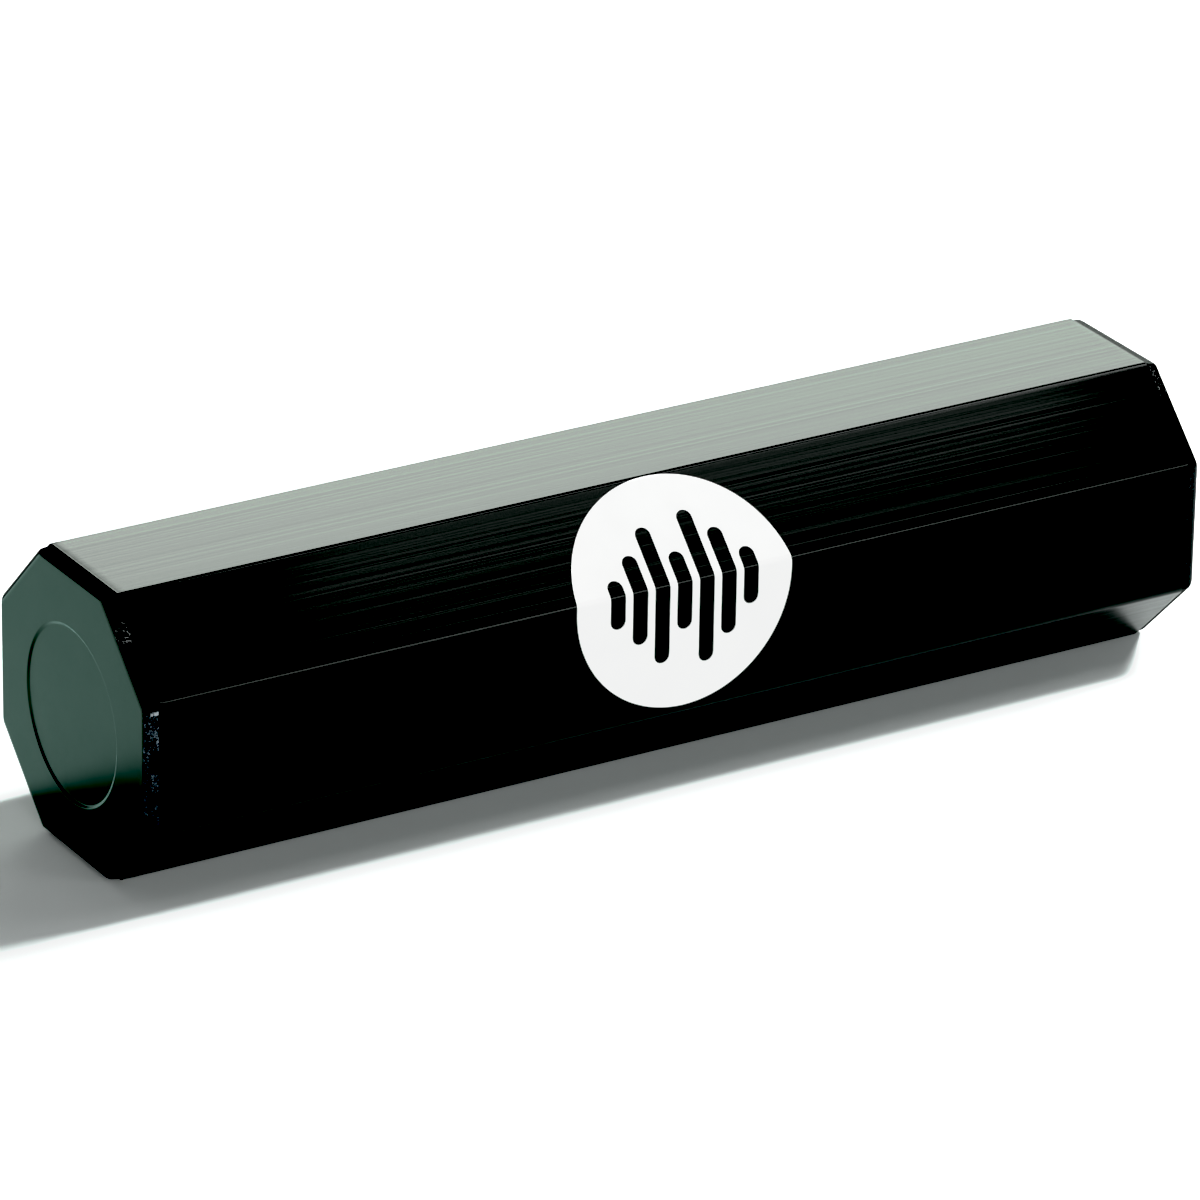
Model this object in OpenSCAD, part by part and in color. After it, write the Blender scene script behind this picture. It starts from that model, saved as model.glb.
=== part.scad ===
// Octagonal tube shaker: an extruded tube closed by two moulded plugs, holding a
// loose charge of round shot, with a round label folded over its front ridge.
// X runs along the tube, the bottom facet lies on Z = 0 and the label faces -Y.

/* [Tube] */
// Width over opposite flats, front to back and top to bottom
across_flats = 50; // [48:0.5:54]
// Leg of each 45 degree corner cut that makes the square section eight-sided
corner_leg = 13.5; // [12.5:0.25:14.5]
// Length of the tube without its caps
tube_l = 194.8; // [180:0.2:230]
// Wall thickness
wall = 1.6; // [1.4:0.1:1.8]
// Outside radius of the eight long ridges
ridge_r = 1.5; // [0.8:0.1:1.8]

/* [End caps] */
// Thickness of the flange over the tube's end
flange_t = 2.6; // [2.2:0.1:4]
// How far the flange stands back from the tube's flats
flange_back = 0.3; // [0.2:0.1:0.8]
// How far the flange stands back from the tube's slanting faces
flange_back_slant = 0.4; // [0.2:0.1:0.8]
// Corner radius of the flange
flange_corner_r = 1.2; // [1:0.1:2]
// Length along the tube of the rounding round the flange's outer edge
edge_x = 1.2; // [0.6:0.1:1.4]
// Depth of that rounding on the flats
edge_flat = 0.9; // [0.4:0.1:1]
// Depth of that rounding on the slanting faces
edge_slant = 1.7; // [0.8:0.1:1.9]
// Diameter of the round sunk panel in the flange
panel_d = 30; // [20:0.5:34]
// Depth of the sunk panel
panel_depth = 0.3; // [0.2:0.1:1]
// Length of the spigot inside the tube
spigot_l = 10; // [7:0.5:14]
// Wall thickness of the spigot
spigot_wall = 1.8; // [1.4:0.1:2]
// Gap between the spigot and the tube
spigot_gap = 0.12; // [0.08:0.02:0.2]
// How far the spigot's crush ribs bite into the tube wall
rib_bite = 0.03; // [0.01:0.01:0.05]

/* [Label] */
// Label diameter, measured flat
label_d = 40.8; // [30:0.2:40.8]
// Film thickness
label_t = 0.12; // [0.1:0.01:0.2]
// Distance of the label's centre from the middle of the tube
label_x = -1.3; // [-20:0.1:20]
// Distance of the label's centre below the front ridge, along the surface
label_drop = 1.4; // [1.4:0.1:2]

/* [Shot] */
// Ball diameter
ball_d = 4; // [3.4:0.1:4]
// Balls in the longer rows
row_balls = 22; // [12:1:30]
// Gap between neighbouring rows
row_gap = 0.3; // [0.2:0.05:0.35]
// Gap between neighbouring balls of one row
ball_gap = 0.2; // [0.1:0.05:0.4]
// Gap between the lower rows and the tube's floor
floor_gap = 0.15; // [0.1:0.01:0.2]

/* [Hidden] */

// Half widths of the tube's section: over the flats and over the slanting faces
half_w = across_flats / 2;
half_s = (across_flats - corner_leg) / sqrt(2);
// Height of the tube's axis
axis_z = half_w;
// Steps in each rounded corner of a section
arc_n = 6;

// Rounded eight-sided ring: h over the flats, s over the slanting faces, r at the corners
function ring8(h, s, r) = [
    for (k = [0:7], i = [0:arc_n])
        let (a = 45 * k, b = a + 45,
             p = (k % 2 == 0 ? h : s) - r,
             q = (k % 2 == 0 ? s : h) - r,
             cu = (p * sin(b) - q * sin(a)) / sin(45),
             cv = (q * cos(a) - p * cos(b)) / sin(45),
             t = a + 45 * i / arc_n)
        [cu + r * cos(t), cv + r * sin(t)]];

// Prism along X from x0 to x1 on a ring in the YZ plane
module bar_x(ring, x0, x1)
    translate([x0, 0, 0]) rotate([90, 0, 90]) linear_extrude(x1 - x0) polygon(ring);

// Closed body through a list of [x, ring] stations along X, from low x to high x
module loft_x(stations) {
    n = len(stations[0][1]);
    m = len(stations);
    pts = [for (s = stations, p = s[1]) [s[0], p[0], p[1]]];
    sides = [for (j = [0:m - 2], i = [0:n - 1])
        let (a = j * n + i, b = j * n + (i + 1) % n) each
        [[a, a + n, b], [b, a + n, b + n]]];
    low = [[for (i = [0:n - 1]) i]];
    high = [[for (i = [n - 1:-1:0]) (m - 1) * n + i]];
    polyhedron(points = pts, faces = concat(sides, low, high), convexity = 4);
}

// ---- Tube -------------------------------------------------------------------

bore_w = half_w - wall;
bore_s = half_s - wall;
bore_r = max(0.4, ridge_r - wall);

module tube_body() {
    color("#14181a") translate([0, 0, axis_z]) difference() {
        bar_x(ring8(half_w, half_s, ridge_r), -tube_l / 2, tube_l / 2);
        bar_x(ring8(bore_w, bore_s, bore_r), -tube_l / 2 - 1, tube_l / 2 + 1);
    }
}

// ---- End caps ---------------------------------------------------------------

cap_w = half_w - flange_back;
cap_s = half_s - flange_back_slant;
plug_w = bore_w - spigot_gap;
plug_s = bore_s - spigot_gap;
plug_r = max(0.5, bore_r);
rib_w = 0.9;
rib_at = 6.5;

// One rib along X on the spigot face whose normal stands at angle a
module crush_rib(a, off)
    rotate([a, 0, 0]) translate([-spigot_l + 2, off - rib_w / 2, (a % 90 == 0 ? plug_w : plug_s) - 0.4])
        cube([spigot_l - 2, rib_w, 0.4 + spigot_gap + rib_bite]);

// Plug with its flange on the +X side of the tube's end at x = 0
module cap_plug() {
    difference() {
        union() {
            // flange with a rounded outer edge, its last station just past the end face
            loft_x(concat(
                [[0, ring8(cap_w, cap_s, flange_corner_r)]],
                [for (t = [0:12:72], last = t == 72 ? [0, 1] : [0])
                    let (k = last == 0 ? sin(t) : 2 - sin(t),
                         o = last == 0 ? 1 - cos(t) : 1 + cos(t))
                    [flange_t - edge_x * (1 - k),
                     ring8(cap_w - o * edge_flat, cap_s - o * edge_slant, flange_corner_r)]]));
            // spigot with a lead-in chamfer
            loft_x([
                [-spigot_l, ring8(plug_w - 0.5, plug_s - 0.5, plug_r)],
                [-spigot_l + 1.5, ring8(plug_w, plug_s, plug_r)],
                [flange_t / 2, ring8(plug_w, plug_s, plug_r)]]);
            for (a = [0:45:315], o = [-rib_at, rib_at]) crush_rib(a, o);
        }
        // hollow of the spigot
        bar_x(ring8(plug_w - spigot_wall, plug_s - spigot_wall, 0.5), -spigot_l - 1, 0);
        // flat end face
        translate([flange_t, -half_w, -half_w]) cube(2 * half_w);
        // round sunk panel
        translate([flange_t - panel_depth, 0, 0]) rotate([0, 90, 0])
            cylinder(d = panel_d, h = panel_depth + 1, $fn = 96);
    }
}

module end_cap_left()
    color("#101413") translate([-tube_l / 2, 0, axis_z]) mirror([1, 0, 0]) cap_plug();

module end_cap_right()
    color("#101413") translate([tube_l / 2, 0, axis_z]) cap_plug();

// ---- Label ------------------------------------------------------------------

// Gap between film and tube, taken up by the film's own adhesive coat
label_gap = 0.02;
label_r = label_d / 2;
// Arc length of a ridge and the flat length of a slanting face
ridge_arc = ridge_r * PI / 4;
slant_l = corner_leg * sqrt(2) - 2 * ridge_r * tan(22.5);
// Arc length at which the front ridge ends and the top ridge starts, from the ridge's middle
top_arc_s = ridge_arc / 2 + slant_l;
// Centres of the front ridge's and the top ridge's roundings, [y, z]
front_c = [-half_w + ridge_r, axis_z + half_w - corner_leg - ridge_r * tan(22.5)];
top_c = front_c + slant_l * [cos(45), sin(45)];

// Point [y, z] at arc length s up the front of the tube, at height o off its surface
function skin(s, o) =
    s < -ridge_arc / 2 ? [-half_w - o, front_c[1] + s + ridge_arc / 2] :
    s <= ridge_arc / 2 ?
        let (t = 180 - (s + ridge_arc / 2) / ridge_r * 180 / PI)
        front_c + (ridge_r + o) * [cos(t), sin(t)] :
    s <= top_arc_s ?
        front_c + (ridge_r + o) * [cos(135), sin(135)]
        + (s - ridge_arc / 2) * [cos(45), sin(45)] :
    s <= top_arc_s + ridge_arc ?
        let (t = 135 - (s - top_arc_s) / ridge_r * 180 / PI)
        top_c + (ridge_r + o) * [cos(t), sin(t)] :
        [top_c[0] + s - top_arc_s - ridge_arc, axis_z + half_w + o];

// Rows of the disc from arc length sa up to, not including, sb
function disc_rows(sa, sb, step) =
    let (pa = acos((-label_drop - sa) / label_r),
         pb = acos((-label_drop - sb) / label_r),
         n = max(1, ceil((pb - pa) / step)))
    [for (i = [0:n - 1]) -label_drop - label_r * cos(pa + (pb - pa) * i / n)];

label_low = -label_drop - label_r * cos(4);
label_high = -label_drop + label_r * cos(4);
label_turn = min(top_arc_s, label_high - 0.02);
label_rows = concat(
    disc_rows(label_low, -ridge_arc / 2, 5),
    disc_rows(-ridge_arc / 2, ridge_arc / 2, 0.6),
    disc_rows(ridge_arc / 2, label_turn, 5),
    disc_rows(label_turn, label_high, 3),
    [label_high]);

module front_label() {
    n = len(label_rows);
    pts = [for (s = label_rows)
        let (w = sqrt(label_r * label_r - pow(s + label_drop, 2)),
             lo = skin(s, label_gap), hi = skin(s, label_gap + label_t)) each
        [[label_x - w, lo[0], lo[1]], [label_x + w, lo[0], lo[1]],
         [label_x + w, hi[0], hi[1]], [label_x - w, hi[0], hi[1]]]];
    walls = [for (j = [0:n - 2], i = [0:3])
        let (a = 4 * j + i, b = 4 * j + (i + 1) % 4) each
        [[a, b, a + 4], [b, b + 4, a + 4]]];
    ends = [[3, 2, 1, 0], [4 * n - 4, 4 * n - 3, 4 * n - 2, 4 * n - 1]];
    color("#f1f3f0") polyhedron(points = pts, faces = concat(walls, ends), convexity = 6);
}

// ---- Shot -------------------------------------------------------------------

row_pitch = ball_d + row_gap;
ball_pitch = ball_d + ball_gap;
lower_z = wall + floor_gap + ball_d / 2;
upper_z = lower_z + row_pitch * sin(60);

// One row of n loose balls along X, centred on x = 0
module shot_row(y, z, n)
    color("#b9bdc0")
    for (i = [0:n - 1])
        translate([(i - (n - 1) / 2) * ball_pitch, y, z]) sphere(d = ball_d, $fn = 48);

// Neighbouring rows differ by one ball, so they lie staggered
module shot_lower_row_1() shot_row(-2 * row_pitch, lower_z, row_balls);
module shot_lower_row_2() shot_row(-row_pitch, lower_z, row_balls - 1);
module shot_lower_row_3() shot_row(0, lower_z, row_balls);
module shot_lower_row_4() shot_row(row_pitch, lower_z, row_balls - 1);
module shot_lower_row_5() shot_row(2 * row_pitch, lower_z, row_balls);
module shot_upper_row_1() shot_row(-2.5 * row_pitch, upper_z, row_balls - 1);
module shot_upper_row_2() shot_row(-1.5 * row_pitch, upper_z, row_balls);
module shot_upper_row_3() shot_row(-0.5 * row_pitch, upper_z, row_balls - 1);
module shot_upper_row_4() shot_row(0.5 * row_pitch, upper_z, row_balls);
module shot_upper_row_5() shot_row(1.5 * row_pitch, upper_z, row_balls - 1);
module shot_upper_row_6() shot_row(2.5 * row_pitch, upper_z, row_balls);

tube_body();
end_cap_left();
end_cap_right();
front_label();
shot_lower_row_1();
shot_lower_row_2();
shot_lower_row_3();
shot_lower_row_4();
shot_lower_row_5();
shot_upper_row_1();
shot_upper_row_2();
shot_upper_row_3();
shot_upper_row_4();
shot_upper_row_5();
shot_upper_row_6();
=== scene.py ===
import math

import bmesh
import bpy
from mathutils import Matrix, Vector, noise


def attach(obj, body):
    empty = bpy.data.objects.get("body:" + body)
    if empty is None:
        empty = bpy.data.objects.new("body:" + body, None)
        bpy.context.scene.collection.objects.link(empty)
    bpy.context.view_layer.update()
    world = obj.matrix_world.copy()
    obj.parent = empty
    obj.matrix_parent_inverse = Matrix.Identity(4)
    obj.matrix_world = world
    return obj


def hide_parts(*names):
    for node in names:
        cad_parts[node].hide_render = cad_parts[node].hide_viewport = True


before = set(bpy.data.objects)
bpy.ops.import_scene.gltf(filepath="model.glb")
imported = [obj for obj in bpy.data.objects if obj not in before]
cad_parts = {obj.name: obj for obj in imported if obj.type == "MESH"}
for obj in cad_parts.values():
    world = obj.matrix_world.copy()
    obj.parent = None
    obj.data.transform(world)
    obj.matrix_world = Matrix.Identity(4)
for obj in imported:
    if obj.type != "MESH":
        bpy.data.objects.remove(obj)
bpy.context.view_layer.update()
scene = bpy.context.scene

MM = 0.001

# Dimensions of the shaker in millimetres, as in the construction model.
HALF_W = 25.0                       # tube over the flats
HALF_S = (50.0 - 13.5) / math.sqrt(2)   # tube over the slanting faces
AXIS_Z = 25.0
TUBE_END = 97.4
WALL = 1.6
RIDGE_R = 1.5
FLANGE_T = 2.6
CAP_W = HALF_W - 0.3
CAP_S = HALF_S - 0.4
CAP_CORNER_R = 1.2
EDGE_X, EDGE_FLAT, EDGE_SLANT = 1.2, 0.8, 1.7     # rounding round the flange
PANEL_R = 15.0
PANEL_DEPTH = 0.3
SPIGOT_L = 10.0
SPIGOT_WALL = 1.8
PLUG_W = HALF_W - WALL - 0.12
PLUG_S = HALF_S - WALL - 0.12
LABEL_R = 20.35
LABEL_X = -1.3
LABEL_S = -1.4
LABEL_GAP = 0.02
LABEL_T = 0.12


# ---------------------------------------------------------------- mesh helpers

def ring8(h, s, r, arc_n, side_n, upright_n=None):
    """Rounded eight-sided ring as a list of ((y, z), normal angle), counter-clockwise.
    Every ring made with the same counts has matching points."""
    out = []
    for k in range(8):
        count = upright_n if upright_n and k in (3, 7) else side_n
        a, b = math.radians(45 * k), math.radians(45 * k + 45)
        p = (h if k % 2 == 0 else s) - r
        q = (s if k % 2 == 0 else h) - r
        cu = (p * math.sin(b) - q * math.sin(a)) / math.sin(b - a)
        cv = (q * math.cos(a) - p * math.cos(b)) / math.sin(b - a)
        for i in range(arc_n + 1):
            t = a + (b - a) * i / arc_n
            out.append(((cu + r * math.cos(t), cv + r * math.sin(t)), t))
        # points along the side that follows this corner
        last = out[-1][0]
        a2, b2 = b, b + math.radians(45)
        p2 = (s if k % 2 == 0 else h) - r
        q2 = (h if k % 2 == 0 else s) - r
        nu = (p2 * math.sin(b2) - q2 * math.sin(a2)) / math.sin(b2 - a2)
        nv = (q2 * math.cos(a2) - p2 * math.cos(b2)) / math.sin(b2 - a2)
        nxt = (nu + r * math.cos(b), nv + r * math.sin(b))
        for i in range(1, count):
            f = i / count
            out.append(((last[0] + (nxt[0] - last[0]) * f, last[1] + (nxt[1] - last[1]) * f), b))
    return out


def circle_like(ring, radius):
    """Points on a circle at the polar angles of another ring's points."""
    out = []
    for (u, v), _ in ring:
        t = math.atan2(v, u)
        out.append(((radius * math.cos(t), radius * math.sin(t)), t))
    return out


def flat_share(t):
    """1 on the four flats, 0 on the four slanting faces, by the angle of the normal."""
    return max(0.0, math.cos(4 * t))


def leaning(angle, sign=1):
    """Normal that leans lengthwise on the flats only."""
    return lambda t: (math.cos(angle * flat_share(t)), sign * math.sin(angle * flat_share(t)))


def loft(name, stations, segments, close_start, close_end, wrap, flip, relief=None):
    """Mesh through stations [(x, ring)], with the normals of each band given exactly.
    segments[k] = ((nr, nx) at station k, (nr, nx) at station k + 1): the share of the
    outward and the lengthwise direction in the normal at both edges of band k, or a
    function of the normal's angle that gives them. relief(k, x, p, t) may lift a point:
    it gives the height in mm and its slopes along X and Z."""
    n = len(stations[0][1])
    verts, slope = [], {}
    for k, (x, ring) in enumerate(stations):
        for i, (p, t) in enumerate(ring):
            lift = relief(k, x, p, t) if relief else None
            o = 0.0
            if lift:
                o, slope[k, i] = lift[0], Vector((lift[1], 0.0, lift[2]))
            verts.append((x * MM, (p[0] + o * math.cos(t)) * MM, (p[1] + o * math.sin(t) + AXIS_Z) * MM))
    faces, normals, bands = [], [], []

    def nrm(k, i, w):
        t = stations[k][1][i][1]
        w = w(t) if callable(w) else w
        v = Vector((w[1], w[0] * math.cos(t), w[0] * math.sin(t)))
        if (k, i) in slope:
            v -= slope[k, i]
        return v.normalized()

    m = len(stations)
    for k in range(m if wrap else m - 1):
        k2 = (k + 1) % m
        wa, wb = segments[k]
        for i in range(n):
            j = (i + 1) % n
            quad = [(k * n + i, nrm(k, i, wa)), (k * n + j, nrm(k, j, wa)),
                    (k2 * n + j, nrm(k2, j, wb)), (k2 * n + i, nrm(k2, i, wb))]
            if flip:
                quad.reverse()
            faces.append([q[0] for q in quad])
            normals.extend(q[1] for q in quad)
            bands.append((k, i))
    for k, nx in ((0, close_start), (m - 1, close_end)):
        if nx is None:
            continue
        # a fan to a middle point
        x = stations[k][0] * MM
        c = len(verts)
        verts.append((x, 0.0, AXIS_Z * MM))
        for i in range(n):
            j = (i + 1) % n
            tri = [k * n + i, k * n + j, c]
            e1 = Vector(verts[tri[1]]) - Vector(verts[tri[0]])
            e2 = Vector(verts[tri[2]]) - Vector(verts[tri[0]])
            if (e1.cross(e2).x > 0) != (nx > 0):
                tri.reverse()
            faces.append(tri)
            normals.extend([Vector((nx, 0, 0))] * 3)
            bands.append((-1 if k == 0 else m, i))
    mesh = bpy.data.meshes.new(name)
    mesh.from_pydata(verts, [], faces)
    mesh.polygons.foreach_set("use_smooth", [True] * len(mesh.polygons))
    mesh.normals_split_custom_set([tuple(v) for v in normals])
    mesh.update()
    return mesh, bands


def add(name, mesh, body, slot, *nodes):
    obj = bpy.data.objects.new(name, mesh)
    scene.collection.objects.link(obj)
    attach(obj, body)
    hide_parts(*nodes)
    return obj


# ------------------------------------------------------------------- materials

class Mat:
    """A node material with one shader and short ways to add nodes."""

    def __init__(self, name):
        self.mat = bpy.data.materials.new(name)
        self.mat.use_nodes = True
        self.nt = self.mat.node_tree
        self.nt.nodes.clear()
        self.out = self.nt.nodes.new("ShaderNodeOutputMaterial")
        self.bsdf = self.nt.nodes.new("ShaderNodeBsdfPrincipled")
        self.nt.links.new(self.bsdf.outputs["BSDF"], self.out.inputs["Surface"])
        self.coord = self.nt.nodes.new("ShaderNodeTexCoord")

    def set(self, **values):
        for key, value in values.items():
            value = (*value, 1.0) if isinstance(value, tuple) else value
            self.bsdf.inputs[key.replace("_", " ")].default_value = value

    def link(self, a, b):
        self.nt.links.new(a, b)

    def mapped(self, scale, offset=(0, 0, 0)):
        n = self.nt.nodes.new("ShaderNodeMapping")
        n.inputs["Scale"].default_value = scale
        n.inputs["Location"].default_value = offset
        self.link(self.coord.outputs["Object"], n.inputs["Vector"])
        return n.outputs["Vector"]

    def noise(self, vector, scale=1.0, detail=2.0, rough=0.5, distortion=0.0):
        n = self.nt.nodes.new("ShaderNodeTexNoise")
        n.inputs["Scale"].default_value = scale
        n.inputs["Detail"].default_value = detail
        n.inputs["Roughness"].default_value = rough
        n.inputs["Distortion"].default_value = distortion
        self.link(vector, n.inputs["Vector"])
        return n.outputs["Fac"]

    def math(self, op, a, b=0.0, c=0.0, clamp=False):
        n = self.nt.nodes.new("ShaderNodeMath")
        n.operation = op
        n.use_clamp = clamp
        for i, v in enumerate((a, b, c)):
            if isinstance(v, (int, float)):
                n.inputs[i].default_value = v
            else:
                self.link(v, n.inputs[i])
        return n.outputs[0]

    def remap(self, v, a, b, c=0.0, d=1.0, smooth=False):
        n = self.nt.nodes.new("ShaderNodeMapRange")
        n.clamp = True
        if smooth:
            n.interpolation_type = "SMOOTHSTEP"
        n.inputs["From Min"].default_value = a
        n.inputs["From Max"].default_value = b
        n.inputs["To Min"].default_value = c
        n.inputs["To Max"].default_value = d
        self.link(v, n.inputs["Value"])
        return n.outputs["Result"]

    def mix(self, fac, a, b):
        n = self.nt.nodes.new("ShaderNodeMix")
        n.data_type = "RGBA"
        for key, v in (("Factor", fac), ("A", a), ("B", b)):
            sock = [s for s in n.inputs if s.name == key and (s.type == "RGBA" or key == "Factor")][0]
            if isinstance(v, (int, float)):
                sock.default_value = v
            elif isinstance(v, tuple):
                sock.default_value = (*v, 1.0)
            else:
                self.link(v, sock)
        return [s for s in n.outputs if s.type == "RGBA"][0]

    def near(self, center, r):
        """1 close to a point, 0 farther than r from it."""
        n = self.nt.nodes.new("ShaderNodeVectorMath")
        n.operation = "DISTANCE"
        n.inputs[1].default_value = center
        self.link(self.coord.outputs["Object"], n.inputs[0])
        return self.remap(n.outputs["Value"], r / 2, r, 1.0, 0.0)

    def xyz(self):
        n = self.nt.nodes.new("ShaderNodeSeparateXYZ")
        self.link(self.coord.outputs["Object"], n.inputs[0])
        return n.outputs

    def bump(self, height, strength, distance, normal=None):
        n = self.nt.nodes.new("ShaderNodeBump")
        if isinstance(strength, (int, float)):
            n.inputs["Strength"].default_value = strength
        else:
            self.link(strength, n.inputs["Strength"])
        n.inputs["Distance"].default_value = distance
        self.link(height, n.inputs["Height"])
        if normal is not None:
            self.link(normal, n.inputs["Normal"])
        return n.outputs["Normal"]


def tube_material():
    """Black anodised aluminium, brushed along its length."""
    m = Mat("anodised_brushed")
    m.set(IOR=1.40, Metallic=0.0, Specular_Tint=(0.95, 1.0, 0.975), Anisotropic=0.7)
    around = m.nt.nodes.new("ShaderNodeTangent")
    around.direction_type = "RADIAL"
    around.axis = "X"
    m.link(around.outputs["Tangent"], m.bsdf.inputs["Tangent"])
    # long draw lines, brush lines and the finest scratches
    line = m.noise(m.mapped((1.6, 760, 760), (11, 5, 2)), detail=2, rough=0.6)
    brush = m.noise(m.mapped((6, 2800, 2800), (3, 1, 7)), detail=2, rough=0.55)
    fine = m.noise(m.mapped((20, 7000, 7000)), detail=2, rough=0.6)
    streak = m.math("ADD", m.math("MULTIPLY", line, 0.45), m.math("ADD", m.math("MULTIPLY", brush, 0.35), m.math("MULTIPLY", fine, 0.20)))
    m.link(m.remap(streak, 0.38, 0.62, 0.14, 0.22), m.bsdf.inputs["Roughness"])
    m.link(m.mix(m.remap(streak, 0.40, 0.60), (0.0010, 0.0012, 0.0011), (0.0026, 0.0030, 0.0028)), m.bsdf.inputs["Base Color"])
    # the top is drawn smoother than the sides
    calm = m.remap(m.xyz()[2], 0.0475, 0.0496, 1.0, 0.40)
    n = m.bump(line, calm, 0.000036)
    n = m.bump(brush, calm, 0.000010, n)
    m.link(n, m.bsdf.inputs["Normal"])
    return m.mat


def tube_end_material():
    """The tube's sawn ends: dull, with specks where the anodising is chipped."""
    m = Mat("anodised_sawn")
    m.set(IOR=1.12, Metallic=0.0)
    saw = m.noise(m.mapped((900, 2600, 2600), (1, 6, 3)), detail=3, rough=0.6)
    chip = m.remap(m.noise(m.mapped((1300, 1300, 1300), (5, 5, 5)), detail=2), 0.66, 0.74)
    col = m.mix(m.remap(saw, 0.35, 0.65), (0.0010, 0.0012, 0.0012), (0.0040, 0.0046, 0.0044))
    m.link(m.mix(chip, col, (0.10, 0.105, 0.10)), m.bsdf.inputs["Base Color"])
    m.link(m.remap(saw, 0.3, 0.7, 0.45, 0.60), m.bsdf.inputs["Roughness"])
    m.link(m.bump(saw, 0.4, 0.00003), m.bsdf.inputs["Normal"])
    return m.mat


def cap_face_material():
    """Black moulded plastic, satin. Its weak mirror is set as a dark conductor's, which is
    near neutral face on and turns green at a slant."""
    m = Mat("cap_face")
    m.set(Metallic=1.0, Specular_Tint=(0.825, 1.0, 0.955))
    orange = m.noise(m.mapped((900, 900, 900), (4, 4, 4)), detail=2)
    cloud = m.noise(m.mapped((130, 130, 130), (1, 2, 3)), detail=4, rough=0.6)
    col = m.mix(m.remap(cloud, 0.35, 0.65), (0.0452, 0.0498, 0.0452), (0.0486, 0.0536, 0.0486))
    m.link(col, m.bsdf.inputs["Base Color"])
    m.link(m.remap(orange, 0.3, 0.7, 0.19, 0.24), m.bsdf.inputs["Roughness"])
    m.link(m.bump(orange, 0.09, 0.00002), m.bsdf.inputs["Normal"])
    return m.mat


def cap_rim_material():
    """The same plastic on the rim, dull from the mould."""
    m = Mat("cap_rim")
    m.set(IOR=1.10, Metallic=0.0)
    grain = m.noise(m.mapped((2600, 2600, 2600)), detail=3, rough=0.6)
    col = m.mix(m.remap(grain, 0.35, 0.65), (0.0010, 0.0018, 0.0016), (0.0022, 0.0032, 0.0030))
    # painted glints: pale specks painted at one spot high on the front slant of each cap's rim, standing in for glints
    # there
    glint_spots = m.math("MAXIMUM", m.near((-0.0987, -0.0153, 0.0446), 0.0027), m.near((0.0985, -0.0130, 0.0468), 0.0034))
    glint_speck = m.remap(m.noise(m.mapped((2300, 2300, 2300), (9, 2, 6)), detail=2), 0.56, 0.62)
    m.link(m.mix(m.math("MULTIPLY", glint_speck, glint_spots), col, (0.115, 0.120, 0.120)), m.bsdf.inputs["Base Color"])
    m.link(m.remap(grain, 0.3, 0.7, 0.36, 0.48), m.bsdf.inputs["Roughness"])
    m.link(m.bump(grain, 0.4, 0.00005), m.bsdf.inputs["Normal"])
    return m.mat


def cap_grain_material():
    """The same plastic where the rim is moulded with a coarse spark grain, pale on its peaks: partly scuff, partly
    painted glints.
    """
    m = Mat("cap_rim_grain")
    m.set(IOR=1.25, Metallic=0.0)
    grain = m.noise(m.mapped((6000, 6000, 6000), (7, 7, 7)), detail=3, rough=0.6)
    peaks = m.remap(m.noise(m.mapped((2300, 2300, 2300), (3, 9, 4)), detail=3, rough=0.7), 0.50, 0.66)
    patch = m.remap(m.noise(m.mapped((260, 260, 260), (2, 8, 5)), detail=2), 0.35, 0.60)
    # painted glints: the pale peaks are painted mostly on the left cap, strongest high on its rim and fading towards
    # the bottom, where that rim catches glints
    x, y, z = m.xyz()
    painted_glint_share = m.math("MULTIPLY", m.remap(x, -0.05, 0.05, 1.0, 0.12), m.math("MULTIPLY", m.remap(z, 0.012, 0.030, 0.10, 1.0), m.remap(z, 0.0345, 0.0352, 1.0, 0.0)))
    scuff_and_glint = m.math("MULTIPLY", m.math("MULTIPLY", peaks, patch), painted_glint_share)
    col = m.mix(m.remap(grain, 0.40, 0.65), (0.0012, 0.0020, 0.0022), (0.006, 0.009, 0.010))
    m.link(m.mix(scuff_and_glint, col, (0.150, 0.185, 0.215)), m.bsdf.inputs["Base Color"])
    m.link(m.remap(grain, 0.3, 0.7, 0.50, 0.34), m.bsdf.inputs["Roughness"])
    m.link(m.bump(grain, 0.6, 0.00004), m.bsdf.inputs["Normal"])
    return m.mat


def cap_flat_material():
    """The same plastic on the rim's flats, smoother but as dull."""
    m = Mat("cap_rim_flat")
    m.set(IOR=1.07, Metallic=0.0)
    orange = m.noise(m.mapped((1400, 1400, 1400), (6, 1, 4)), detail=2)
    m.link(m.mix(m.remap(orange, 0.35, 0.65), (0.0012, 0.0020, 0.0018), (0.0022, 0.0032, 0.0030)), m.bsdf.inputs["Base Color"])
    m.link(m.remap(orange, 0.3, 0.7, 0.24, 0.30), m.bsdf.inputs["Roughness"])
    m.link(m.bump(orange, 0.05, 0.00001), m.bsdf.inputs["Normal"])
    return m.mat


def cap_highlight_material():
    """The same plastic with a painted highlight: a pale band high on the left cap's upright sides, standing in for
    light caught by the rim's corner.
    """
    m = Mat("cap_rim_painted_highlight")
    m.set(IOR=1.30, Metallic=0.0)
    highlight_noise = m.noise(m.mapped((1500, 1500, 1500), (2, 7, 1)), detail=3, rough=0.6)
    m.link(m.mix(m.remap(highlight_noise, 0.34, 0.50), (0.02, 0.025, 0.028), (0.26, 0.29, 0.31)), m.bsdf.inputs["Base Color"])
    m.link(m.remap(highlight_noise, 0.3, 0.7, 0.60, 0.40), m.bsdf.inputs["Roughness"])
    m.link(m.bump(highlight_noise, 0.4, 0.00003), m.bsdf.inputs["Normal"])
    return m.mat


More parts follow.
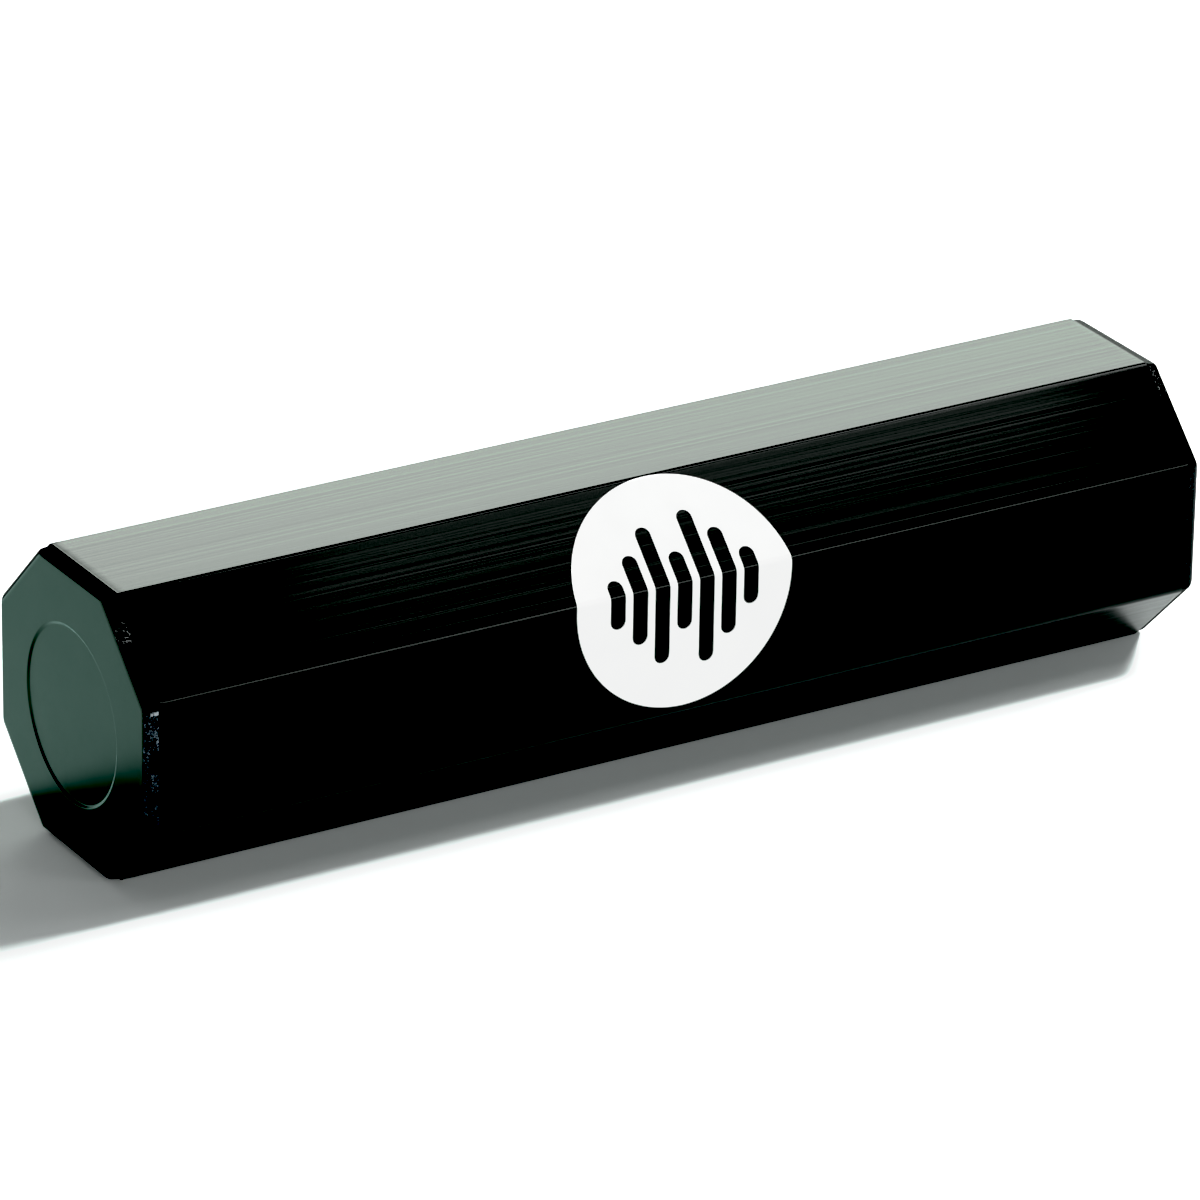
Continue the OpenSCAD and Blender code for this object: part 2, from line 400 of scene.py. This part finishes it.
def label_material():
    """White printed film, semi-gloss."""
    m = Mat("label_film")
    m.set(IOR=1.40, Metallic=0.0)
    cloud = m.noise(m.mapped((130, 130, 130)), detail=3)
    peel = m.noise(m.mapped((1100, 1100, 1100), (2, 2, 2)), detail=2)
    col = m.mix(m.remap(cloud, 0.35, 0.65), (0.490, 0.495, 0.490), (0.510, 0.515, 0.510))
    m.link(col, m.bsdf.inputs["Base Color"])
    m.link(m.remap(peel, 0.3, 0.7, 0.32, 0.42), m.bsdf.inputs["Roughness"])
    m.link(m.bump(peel, 0.15, 0.00004), m.bsdf.inputs["Normal"])
    return m.mat


def shot_material():
    """Bright tumbled steel."""
    m = Mat("tumbled_steel")
    m.set(Metallic=1.0)
    blot = m.noise(m.mapped((700, 700, 700)), detail=3)
    pit = m.noise(m.mapped((3000, 3000, 3000), (3, 3, 3)), detail=2)
    col = m.mix(m.remap(blot, 0.3, 0.7), (0.46, 0.47, 0.48), (0.62, 0.63, 0.64))
    m.link(col, m.bsdf.inputs["Base Color"])
    m.link(m.remap(blot, 0.3, 0.7, 0.18, 0.34), m.bsdf.inputs["Roughness"])
    m.link(m.bump(pit, 0.2, 0.00003), m.bsdf.inputs["Normal"])
    return m.mat


# ------------------------------------------------------------------------ tube

def tube_profile():
    """Stations round the wall's section with the normal at each: outside, right end, bore, left end."""
    arc_n, side_n = 10, 4
    e, ei, steps = 0.06, 0.2, 4
    bw, bs = HALF_W - WALL, HALF_S - WALL
    # brushing has rolled the flats off a little towards both ends, more at the left
    roll_l, roll_n = 1.6, 6
    roll_left, roll_right = math.radians(4.5), math.radians(1.0)
    st = []
    def rolled(a, f):
        """Drop of the flats and their tilt at the share f of a roll by the angle a, 0 where it starts."""
        return roll_l * math.tan(a) * f * f / 2, a * f
    def outer(o, drop=0.0):
        return ring8(HALF_W - o - drop, HALF_S - o, RIDGE_R - o, arc_n, side_n)
    def inner(o):
        return ring8(bw + o, bs + o, 0.4 + o, arc_n, side_n)
    low = rolled(roll_left, 1.0)[0]
    for i in range(steps + 1):          # left outer edge: end face to outside
        t = math.pi / 2 * i / steps
        st.append((-TUBE_END + e * (1 - math.cos(t)), outer(e * (1 - math.sin(t)), low), (math.sin(t), -math.cos(t))))
    for i in range(1, roll_n + 1):
        d, t = rolled(roll_left, 1 - i / roll_n)
        st.append((-TUBE_END + e + roll_l * i / roll_n, outer(0, d), leaning(t, -1)))
    for x in (-60.0, -20.0, 20.0, 60.0):
        st.append((x, outer(0), (1, 0)))
    for i in range(roll_n):
        d, t = rolled(roll_right, i / roll_n)
        st.append((TUBE_END - e - roll_l * (roll_n - i) / roll_n, outer(0, d), leaning(t)))
    low = rolled(roll_right, 1.0)[0]
    for i in range(steps + 1):          # right outer edge: outside to end face
        t = math.pi / 2 * i / steps
        st.append((TUBE_END - e * (1 - math.sin(t)), outer(e * (1 - math.cos(t)), low), (math.cos(t), math.sin(t))))
    for i in range(steps + 1):          # right inner edge: end face to bore
        t = math.pi / 2 * i / steps
        st.append((TUBE_END - ei * (1 - math.cos(t)), inner(ei * (1 - math.sin(t))), (-math.sin(t), math.cos(t))))
    for i in range(steps + 1):          # left inner edge: bore to end face
        t = math.pi / 2 * i / steps
        st.append((-TUBE_END + ei * (1 - math.sin(t)), inner(ei * (1 - math.cos(t))), (-math.cos(t), -math.sin(t))))
    return st


prof = tube_profile()
segments = [(prof[k][2], prof[(k + 1) % len(prof)][2]) for k in range(len(prof))]
tube_mesh, _ = loft("tube_body_skin", [(p[0], p[1]) for p in prof], segments, None, None, True, False)
tube = add("tube_body_skin", tube_mesh, "shell", "anodised_tube", "tube_body")
tube_mesh.materials.append(tube_material())
tube_mesh.materials.append(tube_end_material())
tube_mesh.polygons.foreach_set("material_index", [int(abs(f.center.x) > (TUBE_END - 0.07) * MM) for f in tube_mesh.polygons])


# ------------------------------------------------------------------------ caps

FACE, RIM, GRAIN, FLAT, HIGHLIGHT = range(5)
RIM_LEAN = math.radians(12)         # draft of the rim's flats
RIM_STEPS = 14


def cap_profile():
    """Stations of a cap from its hollow to the middle of its panel, x measured outwards
    from the tube's end, with the normals at both edges of each band and the band's finish."""
    arc_n, side_n, upright_n = 8, 10, 150
    def oct8(w, s, r):
        return ring8(w, s, r, arc_n, side_n, upright_n)
    def rim8(o, drop=0.0):
        return oct8(CAP_W - o - drop, CAP_S - o, CAP_CORNER_R)
    hw, hs = PLUG_W - SPIGOT_WALL, PLUG_S - SPIGOT_WALL
    st, seg, tag = [], [], []
    start = [None, FACE]
    def put(x, ring, n_in=None, n_out=None, finish=None):
        """n_in is the normal of the band that ends here, n_out of the band that starts here."""
        if st:
            seg.append((start[0], n_in))
            tag.append(start[1])
        st.append((x, ring))
        start[0] = n_out if n_out is not None else n_in
        start[1] = finish if finish is not None else start[1]
    put(0.0, oct8(hw, hs, 0.5), None, (-1, 0), FACE)
    put(-SPIGOT_L, oct8(hw, hs, 0.5), (-1, 0), (0, -1))
    put(-SPIGOT_L, oct8(PLUG_W - 0.5, PLUG_S - 0.5, 0.5), (0, -1), (0.95, -0.3))
    put(-SPIGOT_L + 1.5, oct8(PLUG_W, PLUG_S, 0.5), (0.95, -0.3), (1, 0))
    put(0.02, oct8(PLUG_W, PLUG_S, 0.5), (1, 0), (0, -1), RIM)
    # back of the flange and its small rear edge
    b = 0.1
    for i in range(4):
        t = math.pi / 2 * i / 3
        put(0.02 + b * (1 - math.cos(t)), rim8(b * (1 - math.sin(t))), (math.sin(t), -math.cos(t)))
    start[0] = leaning(RIM_LEAN)
    # rim, with draft on its flats
    x0, x1 = 0.02 + b, FLANGE_T - EDGE_X
    for i in range(1, RIM_STEPS + 1):
        x = x0 + (x1 - x0) * i / RIM_STEPS
        put(x, rim8(0, (x - x0) * math.tan(RIM_LEAN)), leaning(RIM_LEAN))
    # rounded front edge, wider on the slants, which takes over the draft's tilt on the flats
    drop = (x1 - x0) * math.tan(RIM_LEAN)
    def rounded(t):
        def normal(a):
            f = flat_share(a)
            depth = EDGE_FLAT * f + EDGE_SLANT * (1 - f)
            nr, nx = math.cos(t) / depth, math.sin(t) / EDGE_X
            k = math.hypot(nr, nx)
            tilt = math.atan2(nx / k, nr / k)
            tilt += RIM_LEAN * f * (1 - tilt / (math.pi / 2))
            return math.cos(tilt), math.sin(tilt)
        return normal
    for i in range(1, 17):
        t = math.pi / 2 * i / 16
        o = 1 - math.cos(t)
        put(x1 + EDGE_X * math.sin(t), oct8(CAP_W - drop - EDGE_FLAT * o, CAP_S - EDGE_SLANT * o, CAP_CORNER_R), rounded(t), None, FACE if i >= 12 else None)
    # face, soft step down and flat floor of the panel
    base = oct8(CAP_W, CAP_S, CAP_CORNER_R)
    step, n = 0.7, 10
    start[0] = (0, 1)
    put(FLANGE_T, circle_like(base, PANEL_R + 2.0), (0, 1))
    for i in range(n + 1):
        u = i / n
        a = math.atan(PANEL_DEPTH * math.pi / 2 / step * math.sin(math.pi * u))
        put(FLANGE_T - PANEL_DEPTH * (1 - math.cos(math.pi * u)) / 2, circle_like(base, PANEL_R + step * (0.5 - u)), (-math.sin(a), math.cos(a)))
    put(FLANGE_T - PANEL_DEPTH, circle_like(base, 9.0), (0, 1))
    put(FLANGE_T - PANEL_DEPTH, circle_like(base, 3.0), (0, 1))
    return st, seg, tag


def upright(t):
    return abs(math.cos(t)) > 0.999


def grain_height(x, y, z):
    """Coarse spark grain of the mould, in mm."""
    v = Vector((x, y, z))
    return 0.060 * noise.noise(v * 2.3) + 0.045 * noise.noise(v * 5.1)


cap_mats = (cap_face_material(), cap_rim_material(), cap_grain_material(), cap_flat_material(), cap_highlight_material())
for side, node in ((-1, "end_cap_left"), (1, "end_cap_right")):
    st, seg, tag = cap_profile()
    stations = [(side * (TUBE_END + x), ring) for x, ring in st]
    def turned(w):
        """The same normal on this side of the part."""
        return (lambda t: (w(t)[0], side * w(t)[1])) if callable(w) else (w[0], side * w[1])
    segs = [(turned(a), turned(b)) for a, b in seg]
    first = tag.index(RIM) + 4
    def grain(k, x, p, t):
        """The two upright sides of the rim keep the grain, which dies out at their edges."""
        if not first < k < first + RIM_STEPS or not upright(t):
            return None
        half = CAP_S * math.sqrt(2) - CAP_W - 0.5
        edge = min(1.0, max(0.0, (half - abs(p[1])) / 0.8)) * min(1.0, (k - first) / 2, (first + RIM_STEPS - k) / 2)
        d = 0.02
        h0 = grain_height(x, p[0], p[1])
        return (edge * (h0 - 0.02), edge * (grain_height(x + d, p[0], p[1]) - h0) / d, edge * (grain_height(x, p[0], p[1] + d) - h0) / d)
    mesh, bands = loft(node + "_skin", stations, segs, -side, side, False, side < 0, grain)
    add(node + "_skin", mesh, "shell", "cap_plastic", node)
    for mat in cap_mats:
        mesh.materials.append(mat)
    index = []
    for k, i in bands:
        finish = tag[k] if 0 <= k < len(tag) else FACE
        if finish == RIM:
            ring = st[k][1]
            t = (ring[i][1] + ring[(i + 1) % len(ring)][1]) / 2
            if abs(math.cos(t)) > 0.999:
                # painted highlight: a pale band high on the left cap's upright sides
                highlight_band = 9.4 < (ring[i][0][1] + ring[(i + 1) % len(ring)][0][1]) / 2 < 10.0
                finish = HIGHLIGHT if highlight_band and side < 0 and k < first + RIM_STEPS else GRAIN
            elif flat_share(t) > 0.5:
                finish = FLAT
        index.append(finish)
    mesh.polygons.foreach_set("material_index", index)


# ----------------------------------------------------------------------- label

RIDGE_ARC = RIDGE_R * math.pi / 4
SLANT_L = 13.5 * math.sqrt(2) - 2 * RIDGE_R * math.tan(math.pi / 8)
TOP_S = RIDGE_ARC / 2 + SLANT_L
FRONT_C = Vector((-HALF_W + RIDGE_R, AXIS_Z + HALF_W - 13.5 - RIDGE_R * math.tan(math.pi / 8)))
TOP_C = FRONT_C + SLANT_L * Vector((math.sqrt(0.5), math.sqrt(0.5)))


def skin(s, o):
    """Point (y, z) and normal (y, z) at arc length s up the front of the tube, o off its surface."""
    if s < -RIDGE_ARC / 2:
        return Vector((-HALF_W - o, FRONT_C[1] + s + RIDGE_ARC / 2)), Vector((-1, 0))
    if s <= RIDGE_ARC / 2:
        t = math.pi - (s + RIDGE_ARC / 2) / RIDGE_R
        n = Vector((math.cos(t), math.sin(t)))
        return FRONT_C + (RIDGE_R + o) * n, n
    if s <= TOP_S:
        n = Vector((-math.sqrt(0.5), math.sqrt(0.5)))
        return FRONT_C + (RIDGE_R + o) * n + (s - RIDGE_ARC / 2) * Vector((math.sqrt(0.5), math.sqrt(0.5))), n
    t = math.pi * 0.75 - (s - TOP_S) / RIDGE_R
    n = Vector((math.cos(t), math.sin(t)))
    return TOP_C + (RIDGE_R + o) * n, n


def make_label():
    """Round film with cut-outs, laid over the front ridge."""
    bm = bmesh.new()
    def loop(points):
        vs = [bm.verts.new((u, v, 0)) for u, v in points]
        return [bm.edges.new((vs[i], vs[(i + 1) % len(vs)])) for i in range(len(vs))]

    def disc(r, n):
        return [(r * math.cos(2 * math.pi * i / n), r * math.sin(2 * math.pi * i / n)) for i in range(n)]

    def bar(u, half_h, half_w):
        """Outline of an upright bar with round ends."""
        pts, n = [], 12
        for v, a0 in ((half_h - half_w, 0.0), (half_w - half_h, math.pi)):
            for i in range(n + 1):
                t = a0 + math.pi * i / n
                pts.append((u + half_w * math.cos(t), v + half_w * math.sin(t)))
        return pts

    edges = loop(disc(LABEL_R, 192))
    for k, h in enumerate((4.2, 7.8, 12.0, 6.8, 13.4, 9.4, 5.0)):
        edges += loop(bar((k - 3) * 4.2, h, 1.4))
    bmesh.ops.triangle_fill(bm, use_beauty=True, use_dissolve=False, edges=edges)
    # cuts where the film turns
    cuts = [-RIDGE_ARC / 2 + RIDGE_ARC * i / 10 for i in range(11)]
    cuts += [TOP_S + 0.12 * i for i in range(0, 9)]
    for s in cuts:
        geom = bm.verts[:] + bm.edges[:] + bm.faces[:]
        bmesh.ops.bisect_plane(bm, geom=geom, dist=1e-6, plane_co=(0, s - LABEL_S, 0), plane_no=(0, 1, 0))
    bm.verts.index_update()
    flat = [(v.co.x, v.co.y) for v in bm.verts]
    tris = []
    for f in bm.faces:
        ids = [v.index for v in f.verts]
        area = sum(flat[ids[i]][0] * flat[ids[(i + 1) % len(ids)]][1] - flat[ids[(i + 1) % len(ids)]][0] * flat[ids[i]][1] for i in range(len(ids)))
        tris.append(ids if area > 0 else ids[::-1])
    border = [(e.verts[0].index, e.verts[1].index) for e in bm.edges if len(e.link_faces) == 1]
    bm.free()
    n = len(flat)
    verts, up = [], []
    for o in (LABEL_GAP + LABEL_T, LABEL_GAP):
        for x, y in flat:
            p, nn = skin(y + LABEL_S, o)
            verts.append(((x + LABEL_X) * MM, p[0] * MM, p[1] * MM))
            up.append(Vector((0, nn[0], nn[1])))
    faces, normals = [], []
    directed = set()
    for ids in tris:
        faces.append(list(ids))
        normals.extend(up[i] for i in ids)
        for i in range(len(ids)):
            directed.add((ids[i], ids[(i + 1) % len(ids)]))
    for ids in tris:
        faces.append([i + n for i in reversed(ids)])
        normals.extend(-up[i] for i in reversed(ids))
    for a, b in border:
        if (a, b) not in directed:
            a, b = b, a
        quad = [b, a, a + n, b + n]
        d = Vector(verts[b]) - Vector(verts[a])
        w = d.cross((up[a] + up[b]) / 2).normalized()
        faces.append(quad)
        normals.extend([w] * 4)
    mesh = bpy.data.meshes.new("front_label_film")
    mesh.from_pydata(verts, [], faces)
    mesh.polygons.foreach_set("use_smooth", [True] * len(mesh.polygons))
    mesh.normals_split_custom_set([tuple(v) for v in normals])
    mesh.update()
    return mesh


label_mesh = make_label()
add("front_label_film", label_mesh, "shell", "label_film", "front_label")
label_mesh.materials.append(label_material())


# ------------------------------------------------------------------------ shot

steel = shot_material()
for name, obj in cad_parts.items():
    if name.startswith("shot_"):
        obj.data.materials.clear()
        obj.data.materials.append(steel)
        obj.data.polygons.foreach_set("use_smooth", [True] * len(obj.data.polygons))


# ---------------------------------------------------------- floor, light, camera

def area(name, direction, distance, size, radiance, along=(1, 0, 0), shift=(0, 0), color=(1, 1, 1), fade=None, at=(0, 0, 0.025), spread=180):
    """Soft rectangle that faces the object from a direction. The first size lies along a given
    vector, shift moves the rectangle in its own plane, fade changes its brightness along the first size,
    at is the point it faces and spread the angle of its beam."""
    z = Vector(direction).normalized()
    x = Vector(along)
    x = (x - x.dot(z) * z).normalized()
    y = z.cross(x)
    light = bpy.data.lights.new(name, "AREA")
    light.shape = "RECTANGLE"
    light.size, light.size_y = size
    light.energy = radiance * math.pi * size[0] * size[1]
    light.color = color
    light.spread = math.radians(spread)
    if fade:
        light.use_nodes = True
        nodes, links = light.node_tree.nodes, light.node_tree.links
        place = nodes.new("ShaderNodeNewGeometry")
        split = nodes.new("ShaderNodeSeparateXYZ")
        ramp = nodes.new("ShaderNodeMapRange")
        ramp.inputs["To Min"].default_value, ramp.inputs["To Max"].default_value = fade
        links.new(place.outputs["Parametric"], split.inputs[0])
        links.new(split.outputs["X"], ramp.inputs["Value"])
        links.new(ramp.outputs["Result"], nodes["Emission"].inputs["Strength"])
    obj = bpy.data.objects.new(name, light)
    loc = Vector(at) + z * distance + x * shift[0] + y * shift[1]
    obj.matrix_world = Matrix.Translation(loc) @ Matrix((x, y, z)).transposed().to_4x4()
    obj.visible_camera = False
    scene.collection.objects.link(obj)
    return obj


floor_mesh = bpy.data.meshes.new("floor")
g = 30.0
floor_mesh.from_pydata([(-g, -g, 0), (g, -g, 0), (g, g, 0), (-g, g, 0)], [], [(0, 1, 2, 3)])
floor = bpy.data.objects.new("floor", floor_mesh)
scene.collection.objects.link(floor)
floor.location.z = -0.00005
fm = Mat("pale_floor")
fm.set(Roughness=0.9, IOR=1.3)
paper = fm.noise(fm.mapped((220, 220, 220)), detail=3)
fm.link(fm.mix(paper, (0.860, 0.912, 0.902), (0.876, 0.930, 0.920)), fm.bsdf.inputs["Base Color"])
floor_mesh.materials.append(fm.mat)

area("back_panel", (0.476, 0.779, 0.409), 1.3, (0.89, 0.74), 3.77, along=(0.853, -0.521, 0), shift=(0.205, 0.15), color=(0.926, 1.0, 0.943), fade=(1.18, 0.78))
area("main_softbox", (0.66, 0.0, 0.751), 6.0, (1.0, 1.0), 132.0)
area("front_fill", (-0.35, -0.93, 0.10), 1.5, (0.70, 0.30), 17.2)
area("front_strip", (0.476, -0.826, 0.301), 1.4, (0.46, 0.43), 4.0)
area("streak_card", (0.476, -0.315, 0.821), 0.35, (0.178, 0.086), 2.7, along=(1, 0.11, 0.042), shift=(-0.007, 0))
area("ridge_card", (0.476, 0.061, 0.877), 0.35, (0.22, 0.065), 3.8)
# for the other sides: the top as seen from the front, the back, both ends and the right-hand corners, the floor behind
area("corner_panel_back", (-0.62, 0.66, 0.42), 1.3, (0.50, 0.40), 1.2, along=(0.66, 0.62, 0))
area("corner_panel_front", (-0.56, -0.71, 0.42), 1.3, (0.50, 0.40), 1.2, along=(0.71, -0.56, 0))
area("back_panel_left", (-0.09, 0.93, 0.36), 1.3, (0.60, 0.40), 3.2)
area("front_panel_high", (-0.10, -0.92, 0.36), 1.3, (0.50, 0.36), 3.2)
area("end_panel_right", (0.95, 0, 0.31), 1.3, (0.36, 0.50), 1.4, along=(0, 1, 0))
area("end_panel_left", (-0.95, 0, 0.31), 1.3, (0.36, 0.50), 0.7, along=(0, 1, 0))
area("rear_pool", (0, 0, 1), 0.5, (0.24, 0.20), 2.5, at=(0.08, 0.17, 0), spread=30)

world = bpy.data.worlds.new("studio")
scene.world = world
world.use_nodes = True
bg = world.node_tree.nodes.get("Background") or world.node_tree.nodes.new("ShaderNodeBackground")
bg.inputs["Color"].default_value = (1, 1, 1, 1)
bg.inputs["Strength"].default_value = 0.10

# Camera at the photograph's viewing angle.
AZ, EL, ROLL = math.radians(-31.419), math.radians(24.112), math.radians(0.934)
DIST, TX, TY, FOCAL = 1394.3, 1.778, 1.622, 8487.1
b = Vector((math.sin(AZ) * math.cos(EL), -math.cos(AZ) * math.cos(EL), math.sin(EL)))
right = Vector((0, 0, 1)).cross(b).normalized()
up = b.cross(right)
c, s = math.cos(ROLL), math.sin(ROLL)
right, up = c * right + s * up, -s * right + c * up
cam_data = bpy.data.cameras.new("camera")
cam_data.sensor_width = 36.0
cam_data.lens = FOCAL / 1200.0 * 36.0
cam_data.clip_start, cam_data.clip_end = 0.05, 100.0
cam = bpy.data.objects.new("camera", cam_data)
loc = (Vector((0, 0, 25)) - TX * right - TY * up + DIST * b) * MM
cam.matrix_world = Matrix.Translation(loc) @ Matrix((right, up, b)).transposed().to_4x4()
scene.collection.objects.link(cam)
scene.camera = cam

# Plain display transform with the photograph's deep blacks.
scene.view_settings.view_transform = "Standard"
scene.view_settings.look = "None"
scene.view_settings.use_curve_mapping = True
curves = scene.view_settings.curve_mapping
curves.black_level = (0.0555, 0.0555, 0.0555)
# steep middle and long shoulder, as in the photograph's hard grade
tone = curves.curves[3]
for x, y in ((0.42, 0.42), (0.66, 0.87), (0.86, 0.925)):
    tone.points.new(x, y)
for point in tone.points:
    point.handle_type = "VECTOR"
curves.update()
